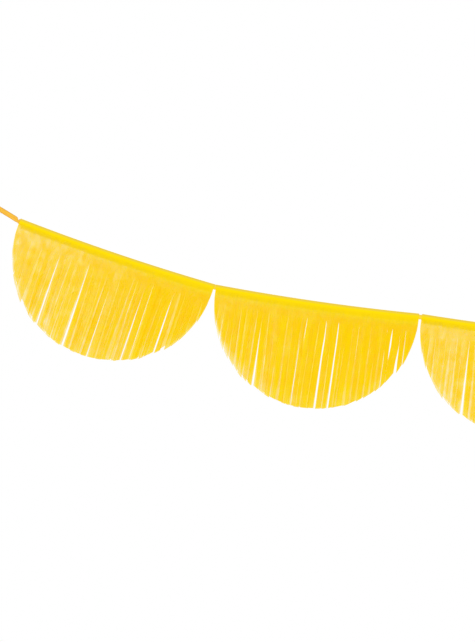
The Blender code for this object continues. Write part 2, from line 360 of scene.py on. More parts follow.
@dataclass(frozen=True)
class SatinFinish:
    """Satin ribbon. UV is the share across the ribbon and centimetres along it.

    Attributes:
        name: The material's name.
        face: Colour of the satin floats.
        shade: Colour between the floats, and painted shade in long bands along the ribbon where its sheen
            fades.
        selvedge: Colour of the woven edges.
    """

    name: str
    face: Rgb = (0.98, 0.56, 0.045)
    shade: Rgb = (0.90, 0.42, 0.020)
    selvedge: Rgb = (0.68, 0.34, 0.025)

    def material(self) -> bpy.types.Material:
        """Builds the material.

        Returns:
            The material, whose patterns follow the ribbon's own UV map.
        """
        bench = NodeBench(bpy.data.materials.new(self.name))
        uv = bench.add("UVMap", uv_map="ribbon").outputs["UV"]
        across = bench.add("SeparateXYZ", (uv,)).outputs["X"]
        floats = bench.noise(uv, (40.0, 6.0, 1.0), 3.0)
        sheen_bands = bench.noise(uv, (3.0, 0.5, 1.0), 1.0)
        off_centre = bench.math("ABSOLUTE", bench.math("SUBTRACT", across, 0.5))
        edge = bench.spread(off_centre, (0.36, 0.45), 0.0, 1.0)

        colour = bench.blend(bench.spread(floats, (0.35, 0.65), 0.0, 0.45), self.face, self.shade)
        # Painted shade of the satin's sheen: long bands along the ribbon turn darker
        colour = bench.blend(bench.spread(sheen_bands, (0.42, 0.58), 0.0, 0.55), colour, self.shade)
        colour = bench.blend(edge, colour, self.selvedge)
        wave = {"Vector": uv, "Scale": 12.0, "Distortion": 0.4}
        ribs = bench.add("TexWave", wave, wave_type="BANDS", bands_direction="Y").outputs["Fac"]
        height = bench.math("ADD", bench.product(ribs, 0.5), floats)
        inputs = {
            "Base Color": colour,
            "Roughness": 0.42,
            "Specular IOR Level": 0.30,
            "Sheen Weight": 0.15,
            "Sheen Roughness": 0.4,
            "Normal": bench.bump(height, 0.35, 0.0002),
        }
        satin = bench.add("BsdfPrincipled", inputs)
        return bench.finish(satin.outputs[0])


@dataclass(frozen=True)
class CoreFinish:
    """The hidden core of a fold, ribbon or dried glue, on Object coordinates.

    Attributes:
        name: The material's name.
        light: The paler colour.
        dark: The darker colour.
        roughness: The surface's roughness.
        grain: Noise cells per metre along X, Y and Z.
    """

    name: str
    light: Rgb
    dark: Rgb
    roughness: float
    grain: tuple[float, float, float]

    def material(self) -> bpy.types.Material:
        """Builds the material.

        Returns:
            The material.
        """
        bench = NodeBench(bpy.data.materials.new(self.name))
        place = bench.add("TexCoord").outputs["Object"]
        grain = bench.noise(place, self.grain, 3.0)
        inputs = {
            "Base Color": bench.blend(grain, self.light, self.dark),
            "Roughness": self.roughness,
            "Specular IOR Level": 0.25,
            "Normal": bench.bump(grain, 0.3, 0.0002),
        }
        core = bench.add("BsdfPrincipled", inputs)
        return bench.finish(core.outputs[0])


@dataclass(frozen=True)
class FoldLine:
    """The straight line between the ends of a fold, on which its scallop swings.

    Attributes:
        middle: The line's middle.
        across: The unit direction along it, to the right.
        length: The fold's length.
        body: The scallop's body.
        carrier: The body that it hangs from.
    """

    middle: Vector
    across: Vector
    length: float
    body: str
    carrier: str

    @classmethod
    def from_joint(cls, joint: dict, length: float) -> "FoldLine":
        """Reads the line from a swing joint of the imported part.

        Args:
            joint: The joint's record.
            length: The fold's length.

        Returns:
            The line.
        """
        axis = Vector(joint["axis"])
        across = axis if axis.x > 0 else -axis
        return cls(Vector(joint["pos_m"]), across, length, joint["child"], joint["parent"])

    @property
    def up(self) -> Vector:
        """The unit direction square to the fold, upwards and in the garland's plane."""
        return Vector((-self.across.z, 0.0, self.across.x))

    def end(self, side: Side) -> Vector:
        """The fold's end on a side."""
        return self.middle + self.across * (side.outward * self.length / 2)

    def placed(self, points: np.ndarray) -> np.ndarray:
        """Takes rows of x along the fold, y to the back and z up to the row frame."""
        axes = np.array([self.across, BACKWARD, self.up])
        return points @ axes + np.array(self.middle)


@dataclass(frozen=True)
class Opening:
    """A slit that hangs open.

    Attributes:
        share: Its place along the fold, as a share of the fold from its left end.
        width: Its width where it is widest.
        start_share: Where it opens, as a share of the strips' length.
        end_share: Where it closes again. At 1 it stays open down to the edge.
        reach: The leaves that it is open in.
        bloom: The power by which it widens. Under 1 it is wide soon.
    """

    share: float
    width: float
    start_share: float = 0.0
    end_share: float = 1.0
    reach: Reach = Reach.BOTH
    bloom: float = 1.0

    def width_at(self, down: np.ndarray) -> np.ndarray:
        """The width of the gap.

        Args:
            down: Places along the strips, as shares of their length.

        Returns:
            The width at each place.
        """
        along = np.clip((down - self.start_share) / (self.end_share - self.start_share), 0, 1)
        if self.end_share < 1:
            return self.width * np.sin(math.pi * along)
        return self.width * along**self.bloom


@dataclass(frozen=True)
class StripHabit:
    """How one strip hangs: its lean and waves, its stand and turn, its cup, cut and tone."""

    sway: float
    ripple: float
    beat: float
    stand: float
    turning: float
    onset: float
    cup: float
    trim: float
    tone: float


@dataclass
class TissueScallop:
    """A disc of tissue folded over the ribbon, each leaf cut into hanging strips.

    Attributes:
        number: Its number from the left.
        line: The fold's line.
        openings: The slits that hang open.
        finish: The tissue's material.
        looseness: How far the strips turn away from each other, at the left and right ends.
        overhang: How far the fold reaches past its line, at the left and right ends.
    """

    number: int
    line: FoldLine
    openings: tuple[Opening, ...]
    finish: bpy.types.Material
    looseness: Range = (1.0, 1.0)
    overhang: Range = (0.0, 0.0)
    # The disc, how far its middle lies under the ribbon's, and how far the fold bows down
    disc_radius: float = 0.1007
    disc_drop: float = 0.0010
    bow: float = 0.0022
    # Half the ribbon's width, the ridge over it, and the uncut band under the ribbon's middle
    ribbon_half: float = 0.0025
    fold_rise: float = 0.0008
    uncut_depth: float = 0.0137
    # How far a leaf lies off the middle: by the ribbon, where the glue starts, and what follows
    leaf_offset: float = 0.00042
    glued_offset: float = 0.00028
    glue_spread: float = 0.0002
    # Strips in a leaf, faces down a strip, and the widest face round the disc's edge
    strip_count: int = 36
    rows_per_strip: int = 24
    column_degrees: float = 3.4
    # How far the longest strips stand out at their tips, at the least too, and how far they curl
    spread_at_tip: float = 0.0026
    least_stand: float = 0.0006
    curl: float = 0.0003
    # The gaps that turned strips leave at their tips: most slits, open slits, and the widest
    slit_gap: float = 0.0011
    open_slit_gap: float = 0.0008
    widest_gap: float = 0.0017
    # How far strips lean to their leaf's side, and the back leaf's first ones are swept aside
    stagger: float = 0.0010
    swept: float = 0.0045
    # How much of its narrowing a strip does by turning, and the least width that it shows
    turning: float = 0.45
    narrowest: float = 0.55
    points: list = field(default_factory=list)
    faces: list = field(default_factory=list)
    values: list = field(default_factory=list)
    # The columns of each strip, the longest one's length and the scallop's own random numbers
    strips: list = field(init=False)
    longest: float = field(init=False)
    rng: np.random.Generator = field(init=False)

    # The rows of points: round the ridge, in degrees, and down the band to the slits
    ridge_degrees = (90, 65, 40, 15)
    band_shares = (0.12, 0.3, 0.5, 0.75, 1.0)

    def __post_init__(self) -> None:
        """Lays out the strips and seeds the random numbers."""
        edges = self.slit_places()
        self.strips = [self.strip_columns(left, right) for left, right in zip(edges, edges[1:])]
        self.longest = self.arc_depth(np.zeros(1))[0] - self.uncut_depth
        self.rng = np.random.default_rng(FIRST_SEED + self.number)

    def build(self) -> bpy.types.Object:
        """Builds the folded sheet and puts it on its body.

        Returns:
            The tissue object.
        """
        ridge = None
        for leaf in Leaf:
            band = self.add_band(leaf, ridge)
            ridge = band[0]
            self.add_strips(leaf, band[-1])
        return self.make_object()

    def slit_places(self) -> np.ndarray:
        """Where the slits lie. The ones that hang open draw the others along.

        Returns:
            Places along the fold from its middle, with the leaf's two edges as first and last.
        """
        anchors = {0: 0.0, self.strip_count: 1.0}
        for opening in self.openings:
            anchors[round(opening.share * self.strip_count)] = opening.share
        keys = sorted(anchors)
        shares = np.interp(range(self.strip_count + 1), keys, [anchors[k] for k in keys])
        return (shares - 0.5) * 2 * self.half_width_at(self.uncut_depth)

    def half_width_at(self, depth: float) -> float:
        """Half the disc's width at a depth under the ribbon's middle, at the fold's ends."""
        return math.sqrt(self.disc_radius**2 - (depth - self.disc_drop - self.bow) ** 2)

    def strip_columns(self, left: float, right: float) -> np.ndarray:
        """The columns of one strip, even round the disc's edge.

        Args:
            left: The strip's left side.
            right: Its right side.

        Returns:
            The columns' places along the fold.
        """
        first, last = (math.acos(-x / self.disc_radius) for x in (left, right))
        steps = max(2, math.ceil(math.degrees(last - first) / self.column_degrees))
        return -self.disc_radius * np.cos(np.linspace(first, last, steps + 1))

    def arc_depth(self, x: np.ndarray) -> np.ndarray:
        """How deep the leaf reaches under the ribbon's middle, for a round edge below a bowed fold."""
        round_edge = np.sqrt(np.maximum(self.disc_radius**2 - x**2, 0.0))
        return self.disc_drop + round_edge + self.bow - self.drop(x)

    def drop(self, x: np.ndarray) -> np.ndarray:
        """How far the bowed fold hangs under its line."""
        return self.bow * (1 - (x / (self.line.length / 2)) ** 2)

    def add_points(
        self, points: np.ndarray, down: np.ndarray, tone: float, tip: np.ndarray, leaf: Leaf
    ) -> range:
        """Adds points with the values that the finish reads.

        Args:
            points: Rows of x, y and z in the fold's own axes.
            down: The paper's distance from the ridge at each point.
            tone: The tone of the strip.
            tip: The share of the strip's length at each point.
            leaf: The leaf that they belong to.

        Returns:
            The new points' numbers.
        """
        first = len(self.points)
        shift = SCALLOP_SHIFT * self.number + (BACK_LEAF_SHIFT if leaf is Leaf.BACK else 0.0)
        for point, depth, share in zip(points, down, tip):
            across = float(point[0])
            uv = (across * DECIMETRES_PER_METRE + shift, float(depth) * DECIMETRES_PER_METRE)
            self.points.append(point)
            self.values.append((*uv, tone, float(share), across))
        return range(first, len(self.points))

    def band_rows(self, leaf: Leaf) -> list[tuple[float, float]]:
        """The rows from the ridge down to the slits.

        Args:
            leaf: The leaf.

        Returns:
            The y and z of each row.
        """
        side = leaf.value
        rows = []
        for degrees in self.ridge_degrees:
            angle = math.radians(degrees)
            y = self.leaf_offset * math.cos(angle)
            rows.append((side * y, self.ribbon_half + self.fold_rise * math.sin(angle)))
        rows.append((side * self.leaf_offset, -self.ribbon_half))
        for share in self.band_shares:
            depth = self.ribbon_half + (self.uncut_depth - self.ribbon_half) * share
            rows.append((side * (self.glued_offset + self.glue_spread * share), -depth))
        return rows

    def add_band(self, leaf: Leaf, ridge: list[int] | None) -> list[list[int]]:
        """Adds the fold and the uncut band of one leaf.

        Args:
            leaf: The leaf.
            ridge: The row of points along the ridge, if the other leaf has made it.

        Returns:
            The rows of points, from the ridge to the tops of the slits.
        """
        columns = np.concatenate([self.strips[0]] + [strip[1:] for strip in self.strips[1:]])
        widest = self.half_width_at(self.uncut_depth)
        half = self.line.length / 2
        rows, down = [], 0.0
        outline = self.band_rows(leaf)
        for index, (y, z) in enumerate(outline):
            if index:
                down += math.dist(outline[index - 1], outline[index])
            if index == 0 and ridge is not None:
                rows.append(ridge)
                continue
            share = max(0.0, self.ribbon_half - z) / (self.uncut_depth + self.ribbon_half)
            share = share**OUTLINE_POWER
            reach = np.where(columns < 0, *self.overhang) * (1 - share)
            edge = self.half_width_at(max(-z, self.disc_drop + self.bow))
            x = columns / widest * (half + reach + (edge - half) * share)
            points = np.column_stack((x, np.full_like(x, y), z - self.drop(x)))
            none = np.zeros_like(x)
            rows.append(list(self.add_points(points, none + down, 0.5, none, leaf)))
        for upper, lower in zip(rows, rows[1:]):
            self.add_grid(leaf, [upper, lower])
        return rows

    def add_grid(self, leaf: Leaf, rows: list[list[int]]) -> None:
        """Adds the faces between rows of points, facing out of the fold.

        Args:
            leaf: The leaf, which gives the side that they face.
            rows: Rows of point numbers, from top to bottom.
        """
        for upper, lower in zip(rows, rows[1:]):
            for k in range(len(upper) - 1):
                face = [upper[k], lower[k], lower[k + 1], upper[k + 1]]
                self.faces.append(face if leaf is Leaf.FRONT else face[::-1])

    def calm(self, strip: int) -> float:
        """How much of its own sway a strip keeps, because an open slit beside it is seen through.

        Args:
            strip: The strip's number.

        Returns:
            A share, which is 1 far from the slits that are open in both leaves.
        """
        through = [opening.share for opening in self.openings if opening.reach is Reach.BOTH]
        away = min(abs(strip + 0.5 - share * self.strip_count) for share in through)
        return 1 - CALM_SHARE * math.exp(-((away / CALM_REACH) ** 2))

    def parting(self, leaf: Leaf, strip: int, hang: np.ndarray) -> np.ndarray:
        """How far the open slits push a strip aside.

        Args:
            leaf: The strip's leaf.
            strip: The strip's number.
            hang: Lengths below the slits' tops.

        Returns:
            The shift along the fold at each place.
        """
        shift = np.zeros_like(hang)
        for opening in self.openings:
            if opening.reach.opens(leaf):
                away = strip + 0.5 - opening.share * self.strip_count
                fade = math.exp(-(abs(away) - 0.5) / PARTING_REACH)
                across = (opening.share - 0.5) * 2 * self.disc_radius
                length = self.arc_depth(np.array([across]))[0] - self.uncut_depth
                length = max(length, LEAST_SLIT * self.longest)
                shift += math.copysign(0.5, away) * opening.width_at(hang / length) * fade
        return shift

    def slit_gaps(self, leaf: Leaf) -> np.ndarray:
        """The gaps that the strips' turning leaves at the tips, one for each slit.

        Args:
            leaf: The leaf.

        Returns:
            The widths. A slit that hangs open in the other leaf alone stays shut in this one.
        """
        places = np.linspace(0, 1, self.strip_count + 1)
        loose = np.interp(places, (0, 1), self.looseness)
        gaps = self.slit_gap * loose * self.rng.uniform(*GAP_RANGE, self.strip_count + 1)
        gaps = np.minimum(gaps, self.widest_gap)
        for opening in self.openings:
            slit = round(opening.share * self.strip_count)
            gaps[slit] = self.open_slit_gap if opening.reach.opens(leaf) else 0.0
        gaps[0] = gaps[-1] = 0.0
        return gaps

    def add_strips(self, leaf: Leaf, roots: list[int]) -> None:
        """Adds the hanging strips of one leaf.

        Args:
            leaf: The leaf.
            roots: The row of points at the tops of the slits.
        """
        # For the lean, the shift to the side, the two swells, the ripple and the curl
        phases = self.rng.uniform(0, 2 * math.pi, 6)
        gaps = self.slit_gaps(leaf)
        above = self.ribbon_half + self.fold_rise
        root = 0
        for number, columns in enumerate(self.strips):
            calm = self.calm(number)
            middle = (columns[0] + columns[-1]) / 2
            habit = self.draw_habit(leaf, number, middle, phases)
            swept = self.swept * math.exp(-number / SWEPT_REACH) if leaf is Leaf.BACK else 0.0
            length = np.maximum(self.arc_depth(columns) - self.uncut_depth, 0.0)
            trim = habit.trim * (length > UNTRIMMED_LENGTH)
            from_middle = columns - middle
            half = max((columns[-1] - columns[0]) / 2, 1e-5)
            arch = 1 - (from_middle / half) ** 2
            rows = [roots[root : root + len(columns)]]
            for share in np.linspace(0.0, 1.0, self.rows_per_strip + 1)[1:]:
                hang = (length + trim * share**2) * share
                part = hang / self.longest
                opened = np.minimum(part / habit.onset, 1.0) ** OPENING_POWER
                slack = (gaps[number] + gaps[number + 1]) / 2 * opened
                narrow = np.clip(1 - slack / (2 * half), self.narrowest, 1.0)
                aside = self.parting(leaf, number, hang)
                wave = habit.ripple * np.sin(habit.beat * math.pi * part + phases[4]) * part
                aside = aside + calm * (habit.sway * opened + wave)
                aside = aside + (gaps[number] - gaps[number + 1]) / 4 * opened + swept * part**2
                turn = habit.turning * np.arccos(narrow)
                out = self.leaf_offset + max(habit.stand, self.least_stand) * part**STAND_POWER
                curl = self.curl * np.sin(part * habit.beat * 4 + phases[5])
                out = out + curl * part + habit.cup * arch * part
                x = middle + from_middle * narrow + aside
                y = leaf.value * out + from_middle * np.sin(turn)
                depth = self.uncut_depth + hang
                points = np.column_stack((x, y, -depth - self.drop(columns)))
                tips = np.full_like(x, share)
                rows.append(list(self.add_points(points, depth + above, habit.tone, tips, leaf)))
            self.add_grid(leaf, rows)
            root += len(columns) - 1

    def draw_habit(self, leaf: Leaf, number: int, middle: float, phases: np.ndarray) -> StripHabit:
        """Draws how one strip hangs. The order of the draws is part of the look.

        Args:
            leaf: The strip's leaf.
            number: The strip's number.
            middle: Its middle's place along the fold.
            phases: The phases of the leaf's waves.

        Returns:
            The strip's habit.
        """
        rng = self.rng
        sway = leaf.value * self.stagger * (1.0 + wave_at(LEAN_WAVE, middle, phases[0]))
        sway = sway + wave_at(SIDE_WAVE, middle, phases[1]) + rng.normal(0, SWAY_SPREAD)
        ripple = rng.normal(0, RIPPLE_SPREAD)
        beat = rng.uniform(*BEAT_RANGE)
        swell = sum(wave_at(wave, middle, phase) for wave, phase in zip(SWELL_WAVES, phases[2:4]))
        second = SECOND_STRIP_STAND if number % 2 else 0.0
        stand = self.spread_at_tip + swell + second + rng.normal(0, STAND_SPREAD)
        turning = self.turning * rng.choice((-1.0, 1.0))
        onset = rng.uniform(*ONSET_RANGE)
        cup = rng.normal(0.0, CUP_SPREAD)
        trim = rng.normal(0, TRIM_SPREAD) + (rng.random() < MISCUT_CHANCE) * rng.uniform(*MISCUT_RANGE)
        tone = float(np.clip(rng.normal(0.5, TONE_SPREAD), 0, 1))
        return StripHabit(sway, ripple, beat, stand, turning, onset, cup, trim, tone)

    def make_object(self) -> bpy.types.Object:
        """Makes the mesh with its UV map and values, and puts it on its body.

        Returns:
            The tissue object.
        """
        name = f"scallop_{self.number}_tissue"
        values = np.array(self.values)
        world = self.line.placed(np.array(self.points))
        tissue = make_sheet(name, world, self.faces, values[:, :2], "paper", self.finish)
        shares = {
            "strip_tone": values[:, 2],
            "tip_share": values[:, 3],
            "fold_share": values[:, 4] / self.line.length + 0.5,
        }
        for attribute, numbers in shares.items():
            layer = tissue.data.attributes.new(attribute, "FLOAT", "POINT")
            layer.data.foreach_set("value", numbers.astype(np.float32))
        tissue.data.shade_smooth()
        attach(tissue, self.line.body)
        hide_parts(f"scallop_{self.number}_paper")
        LOG.info("%s: %d faces", name, len(self.faces))
        return tissue


@dataclass
class RibbonRun:
    """A run of ribbon: its middle line, the way its width lies and its half width.

    Attributes:
        name: The object's name.
        finish: The satin.
        columns: Faces across the ribbon.
        cup: How far its middle stands out over its edges.
        from_length: How much ribbon lies before this run, for the weave.
        centres: The middle of the ribbon at each place that it passes.
        sides: The direction of its width there.
        halves: Half its width there.
    """

    name: str
    finish: bpy.types.Material
    columns: int = 6
    cup: float = 0.00012
    from_length: float = 0.0
    centres: list = field(default_factory=list)
    sides: list = field(default_factory=list)
    halves: list = field(default_factory=list)

    def station(self, centre: Vector, side: Vector, half: float) -> None:
        """Adds a place that the ribbon passes.

        Args:
            centre: The middle of the ribbon there.
            side: The direction of its width.
            half: Half its width.
        """
        self.centres.append(centre.copy())
        self.sides.append(side.normalized())
        self.halves.append(half)

    def build(self) -> bpy.types.Object:
        """Lays the ribbon as a sheet and thickens it.

        Returns:
            The ribbon object, with its place in its mesh.
        """
        count = len(self.centres)
        points, uvs = [], []
        run = self.from_length
        for k, (centre, side, half) in enumerate(zip(self.centres, self.sides, self.halves)):
            ahead = self.centres[min(k + 1, count - 1)] - self.centres[max(k - 1, 0)]
            face = ahead.cross(side).normalized()
            run += (centre - self.centres[k - 1]).length if k else 0.0
            for column in range(self.columns + 1):
                share = column / self.columns
                arch = self.cup * (1 - (2 * share - 1) ** 2)
                points.append(centre + side * half * (2 * share - 1) + face * arch)
                uvs.append((share, run * CENTIMETRES_PER_METRE))
        faces = grid_faces(count - 1, self.columns)
        ribbon = make_sheet(self.name, points, faces, uvs, "ribbon", self.finish)
        thicken(ribbon)
        return ribbon


@dataclass
class GapRibbon:
    """The bare ribbon between two scallops, in three pieces that turn from one fold's slope to the next.

    Attributes:
        number: The gap's number from the left.
        left: The fold at its left.
        right: The fold at its right.
        finish: The satin.
        rise: How far it stands over the line of the folds.
        pinch: How far its edges draw in.
        half_width: Half the ribbon's width.
        steps: Faces along each piece.
    """

    number: int
    left: FoldLine
    right: FoldLine
    finish: bpy.types.Material
    rise: float = 0.0
    pinch: float = 0.0003
    half_width: float = 0.0025
    steps: int = 6

    # The pieces, and where they start and end as shares of the gap
    names = ("entry", "link", "exit")
    places = (0.0, 0.3, 0.7, 1.0)

    def build(self) -> list[bpy.types.Object]:
        """Builds the three pieces.

        Returns:
            The pieces, from the left fold to the right one.
        """
        start, end = self.left.end(Side.RIGHT), self.right.end(Side.LEFT)
        turns = [start.lerp(end, place) for place in self.places]
        ups = [self.left.up.lerp(self.right.up, place) for place in self.places]
        made = []
        for part, name in enumerate(self.names):
            before = (turns[part] - start).length
            run = RibbonRun(f"gap_{self.number}_ribbon_{name}", self.finish, from_length=before)
            for step in range(self.steps + 1):
                share = step / self.steps
                along = (part + share) / len(self.names)
                half = self.half_width - self.pinch * math.sin(math.pi * along)
                up = ups[part].lerp(ups[part + 1], share)
                centre = turns[part].lerp(turns[part + 1], share) + up * self.rise
                run.station(centre, up, half)
            ribbon = run.build()
            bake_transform(ribbon)
            made.append(ribbon)
        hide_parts(f"ribbon_link_{self.number}")
        LOG.info("gap %d: %d pieces", self.number, len(made))
        return made


@dataclass
class RibbonEnd:
    """The tail of ribbon, its knot, its cut end and the hanging loop at one end.

    Attributes:
        side: The end of the garland.
        line: The outermost fold.
        finish: The satin.
    """

    side: Side
    line: FoldLine
    finish: bpy.types.Material
    # The tail: its slope in degrees, its length to the knot, and half the ribbon's width
    slope: float = 29.6
    tail_length: float = 0.080
    half_width: float = 0.0025
    # Where the tail is drawn together beside the fold, over what length, and how far in and down
    squeeze_at: float = 0.0021
    squeeze_length: float = 0.0011
    squeeze_depth: float = 0.0010
    squeeze_drop: float = 0.0007
    # Over what length it gathers to the knot, and how far each edge draws in
    gather_length: float = 0.006
    gather_depth: float = 0.0012
    # Two lengths from the fold, over the second of which its width turns from the fold's slope to its own,
    # and how far it bows, waves and twists
    swing_length: float = 0.006
    level_length: float = 0.004
    tail_bow: float = 0.0008
    tail_wave: float = 0.0003
    tail_twist: float = 7.0
    # Its faces, and the powers that crowd them at the fold, gather it late and bow it early
    tail_steps: int = 110
    crowding: float = 1.35
    gather_power: float = 1.6
    bow_power: float = 0.7
    # The knot, and what its core takes up of it
    knot_length: float = 0.0075
    knot_depth: float = 0.0052
    knot_height: float = 0.0068
    core_shares: tuple[float, float, float] = (0.97, 0.86, 0.86)
    # The core's pleats: how many, how high, and by how many radians they wind from its middle
    core_pleats: int = 9
    core_pleat: float = 0.05
    core_winding: float = 2.5
    # A turn over the knot: the share of a full circle, half its width in radians, how far that
    # waves and narrows to the ends, and the centimetres of ribbon in it
    wrap_round: float = 0.92
    wrap_half: float = 0.50
    wrap_wave: float = 0.06
    wrap_narrowing: float = 0.15
    wrap_run: float = 1.8
    # How deep its ends tuck under, and how high its crown and its pleats are
    wrap_tuck: float = 0.30
    wrap_crown: float = 0.07
    wrap_pleat: float = 0.018
    # The cut end: its length, and where it starts, as a share of the knot's length and below
    cut_length: float = 0.0105
    cut_start: float = 0.30
    cut_below: float = 0.0012
    # How far it runs along the tail and falls, as shares of its length, and how far back it goes
    cut_run: float = 0.75
    cut_fall: float = 0.62
    fall_power: float = 1.3
    cut_back: float = 0.0012
    # Half its width at the knot, what it gains, and the share of its length that it takes to
    cut_half: float = 0.0012
    cut_widening: float = 0.0011
    cut_widens_by: float = 0.4
    # The loop from the knot to its hook, the length of its faces, the radii at its two ends,
    # and how far the band's middle lies outside them
    loop_length: float = 0.024
    loop_step: float = 0.0012
    loop_radius: float = 0.006
    neck_radius: float = 0.0008
    band_offset: float = 0.0002
    # How far from the hook the band starts to narrow, and how far each edge draws in
    neck_from: float = 0.012
    neck_depth: float = 0.0013
    # The gap before the knot, and how far the tail and the loop reach into it
    clearance: float = 0.0003
    tucked: float = 0.0014

    # The flat turns over the knot: a name, the lean in degrees, the size and the first angle
    turns = (("under", -31.0, 1.00, 0.5), ("over", 27.0, 1.09, 2.2))

    @property
    def start(self) -> Vector:
        """Where the ribbon leaves the outermost fold."""
        return self.line.end(self.side)

    @property
    def outward(self) -> Vector:
        """The unit direction of the taut tail, away from the scallops and up."""
        angle = math.radians(self.slope)
        return Vector((self.side.outward * math.cos(angle), 0.0, math.sin(angle)))

    @property
    def up(self) -> Vector:
        """The unit direction square to the tail, upwards."""
        out = self.outward
        return Vector((-out.z * self.side.outward, 0.0, abs(out.x)))

    def body(self) -> str:
        """The body of this end."""
        return self.line.carrier

    def build(self) -> None:
        """Builds the tail, the knot, the cut end and the loop."""
        loop, knot, cut_end = self.build_loop(), self.build_knot(), self.build_cut_end()
        for piece in (loop, knot, cut_end):
            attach(piece, self.body())
        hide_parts(f"{self.side.value}_hanging_loop")
        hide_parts(f"{self.side.value}_knot")
        tail, path = self.build_tail()
        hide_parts(f"{self.side.value}_tail_ribbon")
        reach = self.swing_length
        self.body()
        self.start
        self.start + self.outward * reach
        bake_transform(tail)
        tuple(self.start)
        LOG.info("%s end: tail, knot, cut end and loop", self.side.value)

    def build_tail(self) -> tuple[bpy.types.Object, list[Vector]]:
        """Builds the taut tail, which narrows where it slips into the fold.

        Returns:
            The tail and the points of its middle line.
        """
        run = RibbonRun(f"{self.side.value}_tail_satin", self.finish)
        reach = self.tail_length + self.tucked
        for step in range(self.tail_steps + 1):
            share = (step / self.tail_steps) ** self.crowding
            along = share * reach
            squeeze = math.exp(-(((along - self.squeeze_at) / self.squeeze_length) ** 2))
            gather = (along - self.tail_length + self.gather_length) / self.gather_length
            gather = min(1.0, max(0.0, gather)) ** self.gather_power
            half = self.half_width - self.squeeze_depth * squeeze - self.gather_depth * gather
            bow = self.tail_bow * math.sin(math.pi * share**self.bow_power)
            turn = math.radians(self.tail_twist) * math.sin(2 * math.pi * share) * self.side.outward
            centre = self.start + self.outward * along + self.up * (bow - self.squeeze_drop * squeeze)
            centre.y += self.tail_wave * math.sin(3 * math.pi * share)
            side = self.line.up.lerp(self.up, min(1.0, along / self.level_length))
            side = Matrix.Rotation(turn, 3, self.outward) @ side
            run.station(centre, side, half)
        return run.build(), run.centres

    def knot_middle(self) -> Vector:
        """The middle of the knot."""
        return self.start + self.outward * (self.tail_length + self.clearance + self.knot_length / 2)

    def build_knot(self) -> bpy.types.Object:
        """Builds the knot: a lumpy core with flat turns of ribbon crossed over it.

        Returns:
            The knot object.
        """
        core = self.build_core()
        wraps = [self.build_wrap(*turn) for turn in self.turns]
        select_only(core)
        for wrap in wraps:
            wrap.select_set(True)
        bpy.ops.object.join()
        core.name = f"{self.side.value}_tied_knot"
        return core

    def on_knot(self, x: float, y: float, z: float) -> Vector:
        """Takes a point from the unit ball to the knot's core.

        Args:
            x: Its place along the ribbon.
            y: Its place to the back.
            z: Its place upwards.

        Returns:
            The point on the core.
        """
        sizes = (self.knot_length, self.knot_depth, self.knot_height)
        ball = [value * size / 2 * share for value, size, share in zip((x, y, z), sizes, self.core_shares)]
        return self.knot_middle() + self.outward * ball[0] + BACKWARD * ball[1] + self.up * ball[2]

    def build_wrap(self, name: str, lean: float, swell: float, phase: float) -> bpy.types.Object:
        """Builds one flat turn of ribbon that lies on the knot and tucks under at both ends.

        Args:
            name: What the turn is called.
            lean: How far it leans off the square, in degrees.
            swell: How far out it lies, where 1 is the core's surface.
            phase: The angle at which it starts.

        Returns:
            The turn's object.
        """
        angle = math.radians(lean)
        second = Vector((math.sin(angle), 0.0, math.cos(angle)))
        square = BACKWARD.cross(second)
        steps, columns = 56, 8
        points, uvs = [], []
        # Both ends are tucked under and narrower, and the crown between the edges has pleats
        for step in range(steps + 1):
            share = step / steps
            turn = phase + 2 * math.pi * self.wrap_round * share
            off_middle = abs(2 * share - 1)
            tuck = self.wrap_tuck * off_middle**8
            wave = self.wrap_wave * math.sin(3 * turn + phase)
            wide = self.wrap_half + wave - self.wrap_narrowing * off_middle**4
            for column in range(columns + 1):
                across = 2 * column / columns - 1
                off = across * wide
                place = BACKWARD * math.cos(turn) + second * math.sin(turn)
                place = place * math.cos(off) + square * math.sin(off)
                pleat = self.wrap_pleat * math.sin(7 * across + 2 * turn)
                crown = self.wrap_crown * (1 - across**4)
                points.append(self.on_knot(*(place * (swell - tuck + crown + pleat))))
                uvs.append((column / columns, share * self.wrap_run))
        faces = grid_faces(steps, columns, turned=True)
        wrap = make_sheet(f"{self.side.value}_knot_{name}", points, faces, uvs, "ribbon", self.finish)
        thicken(wrap)
        return wrap

    def build_core(self) -> bpy.types.Object:
        """Builds the bunched core of the knot, gathered in pleats along the ribbon.

        Returns:
            The core object.
        """
        bpy.ops.object.select_all(action="DESELECT")
        bpy.ops.mesh.primitive_uv_sphere_add(segments=64, ring_count=28, radius=1.0)
        core = bpy.context.object
        mesh = core.data
        for vertex in mesh.vertices:
            x, y, z = vertex.co
            winding = self.core_pleats * math.atan2(y, x) + self.core_winding * z
            pleat = 1 + self.core_pleat * math.sin(winding)
            vertex.co = self.on_knot(z, y * pleat, x * pleat)
        mesh.uv_layers.active.name = "ribbon"
        mesh.shade_smooth()
        mesh.materials.append(self.finish)
        bpy.ops.object.mode_set(mode="EDIT")
        bpy.ops.mesh.select_all(action="SELECT")
        bpy.ops.mesh.normals_make_consistent(inside=False)
        bpy.ops.object.mode_set(mode="OBJECT")
        return core

    def build_cut_end(self) -> bpy.types.Object:
        """Builds the short end that sticks out of the knot, cut on the slant.

        Returns:
            The cut end object.
        """
        run = RibbonRun(f"{self.side.value}_cut_end", self.finish)
        middle = self.knot_middle()
        steps = 14
        for step in range(steps + 1):
            share = step / steps
            # Out of the knot's middle, along the tail towards the fold, and falling more and more
            along = self.knot_length * self.cut_start + self.cut_length * self.cut_run * share
            fall = self.cut_below + self.cut_length * self.cut_fall * share**self.fall_power
            centre = middle + -self.outward * along + -self.up * fall + BACKWARD * (self.cut_back * share)
            # Its width lies aslant, and more so at the tip
            side = self.up * 0.8 - self.outward * (0.55 + 0.25 * share)
            half = self.cut_half + self.cut_widening * min(1.0, share / self.cut_widens_by)
            run.station(centre, side, half)
        return run.build()

